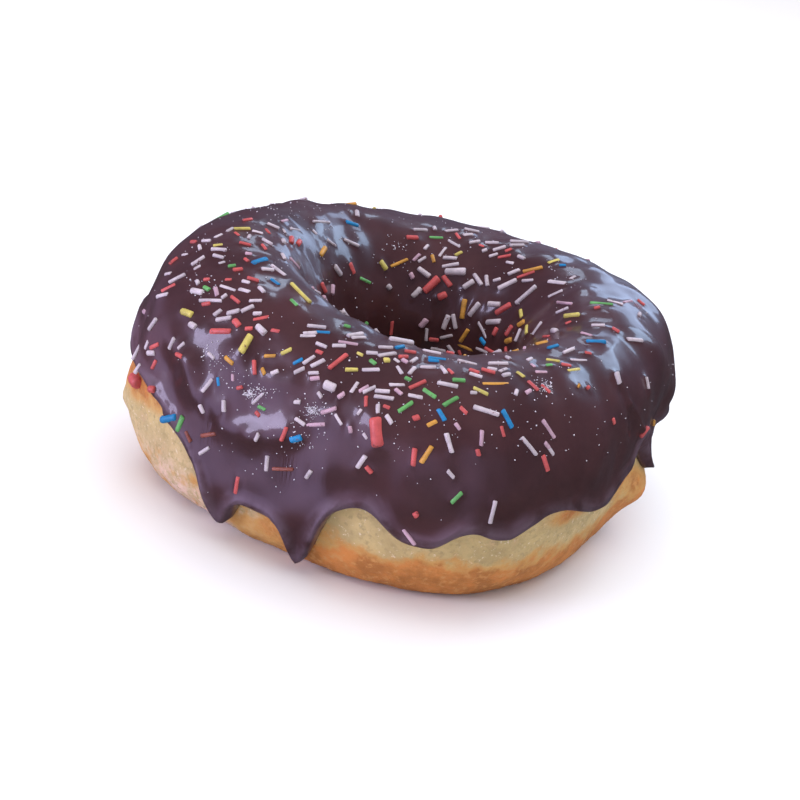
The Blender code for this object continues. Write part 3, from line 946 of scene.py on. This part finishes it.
def strewn_sprinkles(surface, draw, found):
    """More sprinkles where the photograph doesn't show the icing, close on the crest, few down the side."""
    sprinkles = settings().sprinkles
    names, shares = zip(*SPRINKLE_SHARES.items())
    taken = np.array([row[1] for row in found])
    eye = camera_place().translation
    turns = np.array([draw.uniform(0, 2 * math.pi) for _ in range(sprinkles.tries)])
    low, high = outer_edge(turns) + OUTER_MARGIN, hole_edge(turns) - HOLE_MARGIN
    sections = low + (high - low) * np.array([draw.random() for _ in turns])
    points = ring_point(turns, sections, settings().icing.thickness)
    for section, point in zip(sections, points):
        if np.min(np.sum((taken - point) ** 2, axis=1)) < sprinkle_spacing(section) ** 2:
            continue
        place, normal, _, _ = surface.find_nearest(Vector(point))
        if shows_in_photo(surface, eye, place, normal):
            continue
        taken = np.vstack([taken, point])
        heading = any_way(draw)
        colour = draw.choices(names, shares)[0]
        length = draw.triangular(sprinkles.shortest, sprinkles.longest, sprinkles.shortest * 1.5)
        width = sprinkles.width * draw.uniform(*STREWN_WIDTHS)
        found.append((colour, place, normal, heading, length, width))
    return found


class DOUGHNUT_OT_sprinkles(bpy.types.Operator):
    """Lays the sugar sprinkles into the icing, which creeps up around them"""
    bl_idname = "doughnut.sprinkles"
    bl_label = "Sugar sprinkles"

    def execute(self, context):
        sprinkles = settings().sprinkles
        icing = bpy.data.objects["chocolate_icing"]
        both = surface_of(icing, bpy.data.objects["dough_ring"])
        draw = random.Random(sprinkles.seed)
        found = strewn_sprinkles(surface_of(icing), draw, seen_sprinkles(both, draw))
        places = {colour: [] for colour in SEEN_SPRINKLES}
        for colour, *shape in found:
            places[colour].append(sprinkle_place(draw, *shape))
        self.wet(icing.data, found)
        pattern = sprinkle_pattern()
        for colour in SEEN_SPRINKLES:
            piece = copies(f"sprinkles_{colour}", pattern, places[colour])
            piece.data.materials.append(sugar_material(f"{colour}_sugar", getattr(sprinkles, colour)))
            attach(piece, "root")
        bpy.data.meshes.remove(pattern)
        return {"FINISHED"}

    def wet(self, mesh, found):
        """Draws the icing up a little around each sprinkle."""
        points, normals = read_points(mesh), read_normals(mesh)
        tree = point_tree(points)
        lift = np.zeros(len(points))
        for _, point, normal, heading, length, width in found:
            near = [index for _, index, _ in tree.find_range(point, length / 2 + 2 * width)]
            reach = in_plane(heading, normal.normalized()) * length * WET_REACH
            away = along_segment(points[near], point - reach, point + reach)
            lift[near] = np.maximum(lift[near], width * WET_HEIGHT * bell(away / (width * WET_WIDTH)))
        write_points(mesh, points + normals * lift[:, None])


def grain_pattern():
    grain = bmesh.new()
    bmesh.ops.create_icosphere(grain, subdivisions=1, radius=MM)
    return mesh_of("grain_pattern", grain)


class DOUGHNUT_OT_sugar(bpy.types.Operator):
    """Strews fine sugar grains over the icing"""
    bl_idname = "doughnut.sugar"
    bl_label = "Fine sugar"

    def execute(self, context):
        surface = surface_of(bpy.data.objects["chocolate_icing"])
        draw = random.Random(settings().sprinkles.seed + 5)
        spots = []
        for x, y, spread, count in SEEN_SUGAR:
            for _ in range(count):
                spots.append(seen_place(surface, draw.gauss(x, spread), draw.gauss(y, spread * 0.7)))
        for _ in range(LOOSE_GRAINS):
            around, section = draw.uniform(0, 2 * math.pi), math.radians(draw.uniform(15, 170))
            point = ring_point(around, section, settings().icing.thickness)
            spots.append(surface.find_nearest(Vector(point))[:2])
        pattern = grain_pattern()
        piece = copies("fine_sugar", pattern, [self.grain(draw, *spot) for spot in spots])
        bpy.data.meshes.remove(pattern)
        sugar = sugar_material("sugar_grain", settings().sprinkles.grains, smeared=False)
        piece.data.materials.append(sugar)
        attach(piece, "root")
        return {"FINISHED"}

    def grain(self, draw, point, normal):
        size = draw.triangular(*GRAIN_SIZES)
        scale = np.diag((size, size * draw.uniform(0.7, 1), size * draw.uniform(0.6, 0.9)))
        turn = Matrix.Rotation(draw.uniform(0, 3), 3, "X") @ Matrix.Rotation(draw.uniform(0, 3), 3, "Z")
        turned = scale @ np.array(turn)
        place = np.array(point + normal * size * GRAIN_RAISE)
        return lambda base: base @ turned + place


# The studio.


def add_light(name, azimuth, elevation, distance, size, power, colour):
    """An area light that shines on the ring from that direction, in degrees."""
    turn, rise = math.radians(azimuth), math.radians(elevation)
    way = Vector((math.cos(turn) * math.cos(rise), math.sin(turn) * math.cos(rise), math.sin(rise)))
    data = bpy.data.lights.new(name, "AREA")
    data.shape = "RECTANGLE"
    data.size, data.size_y = size
    data.energy = power
    data.color = colour
    light = bpy.data.objects.new(name, data)
    light.location = Vector((0, 0, WAIST_HEIGHT)) + way * distance
    light.rotation_mode = "QUATERNION"
    light.rotation_quaternion = (-way).to_track_quat("-Z", "Y")
    light.visible_camera = False
    light.visible_glossy = name != "top_light"
    bpy.context.scene.collection.objects.link(light)


class DOUGHNUT_OT_stage(bpy.types.Operator):
    """Sets the floor, the lights and the camera"""
    bl_idname = "doughnut.stage"
    bl_label = "Floor, lights and camera"

    def execute(self, context):
        self.make_floor()
        self.make_lights(context)
        self.make_camera(context)
        return {"FINISHED"}

    def make_floor(self):
        sheet = bmesh.new()
        bmesh.ops.create_grid(sheet, x_segments=8, y_segments=8, size=6.0)
        floor = new_piece("floor", sheet)
        material, tree, shader = new_material("pale_floor", Roughness=0.7, Specular_IOR_Level=0.2)
        pale = tuple(settings().stage.floor)
        tree.links.new(blend(tree, mottle(tree, 2.0), shade(pale, 0.99), pale), shader.inputs["Base Color"])
        floor.data.materials.append(material)
        floor.visible_glossy = False

    def make_lights(self, context):
        for light in LIGHTS:
            add_light(*light)
        context.scene.world = self.studio_air()
        context.scene.view_settings.view_transform = "Standard"

    def studio_air(self):
        """Even light from all around. The gloss mirrors a dimmer air, with a band in front and a glow."""
        world = bpy.data.worlds.new("studio_air")
        world.use_nodes = True
        tree = world.node_tree
        air = tree.nodes["Background"]
        way = add_node(tree, "ShaderNodeTexCoord").outputs["Generated"]
        parts = add_node(tree, "ShaderNodeSeparateXYZ", (("Vector", way),))
        height = parts.outputs["Z"]
        front = calculate(tree, "ADD", parts.outputs["X"], parts.outputs["Y"])
        band = calculate(tree, "MULTIPLY", span(tree, height, -0.45, -0.15), span(tree, height, 0.35, 0.1))
        band = calculate(tree, "MULTIPLY", band, span(tree, front, 0.2, -0.9))
        mirrored = blend(tree, span(tree, height, -0.3, 0.2), GROUND, SKY)
        mirrored = blend(tree, band, mirrored, FRONT_BAND)
        inputs = ((0, way), (1, LOW_GLOW_WAY))
        low_left = add_node(tree, "ShaderNodeVectorMath", inputs, operation="DOT_PRODUCT")
        glow = span(tree, low_left.outputs["Value"], 0.90, 1.0)
        mirrored = blend(tree, glow, mirrored, LOW_GLOW)
        glossy = add_node(tree, "ShaderNodeLightPath").outputs["Is Glossy Ray"]
        tree.links.new(blend(tree, glossy, AIR, mirrored), air.inputs["Color"])
        return world

    def make_camera(self, context):
        data = bpy.data.cameras.new("camera")
        data.sensor_width = SENSOR_WIDTH
        data.lens = FOCAL_PIXELS / PHOTO_WIDTH * SENSOR_WIDTH
        data.clip_start = 0.01
        camera = bpy.data.objects.new("camera", data)
        camera.matrix_world = camera_place()
        context.scene.collection.objects.link(camera)
        context.scene.camera = camera


OPERATORS = (
    DOUGHNUT_OT_dough, DOUGHNUT_OT_icing, DOUGHNUT_OT_sprinkles, DOUGHNUT_OT_sugar, DOUGHNUT_OT_stage,
)


class DOUGHNUT_PT_sidebar(bpy.types.Panel):
    bl_idname = "DOUGHNUT_PT_sidebar"
    bl_label = "Iced ring doughnut"
    bl_space_type = "VIEW_3D"
    bl_region_type = "UI"
    bl_category = "Doughnut"

    def draw(self, context):
        for operator in OPERATORS:
            self.layout.operator(operator.bl_idname)


GROUPS = (DoughSettings, IcingSettings, SprinkleSettings, StageSettings, DoughnutSettings)
CLASSES = (*GROUPS, *OPERATORS, DOUGHNUT_PT_sidebar)


def register():
    for made in CLASSES:
        bpy.utils.register_class(made)
    bpy.types.Scene.doughnut = PointerProperty(type=DoughnutSettings)


def unregister():
    del bpy.types.Scene.doughnut
    for made in reversed(CLASSES):
        bpy.utils.unregister_class(made)


def main():
    register()
    bpy.ops.doughnut.dough()
    bpy.ops.doughnut.icing()
    bpy.ops.doughnut.sprinkles()
    bpy.ops.doughnut.sugar()
    bpy.ops.doughnut.stage()


if __name__ == "__main__":
    main()
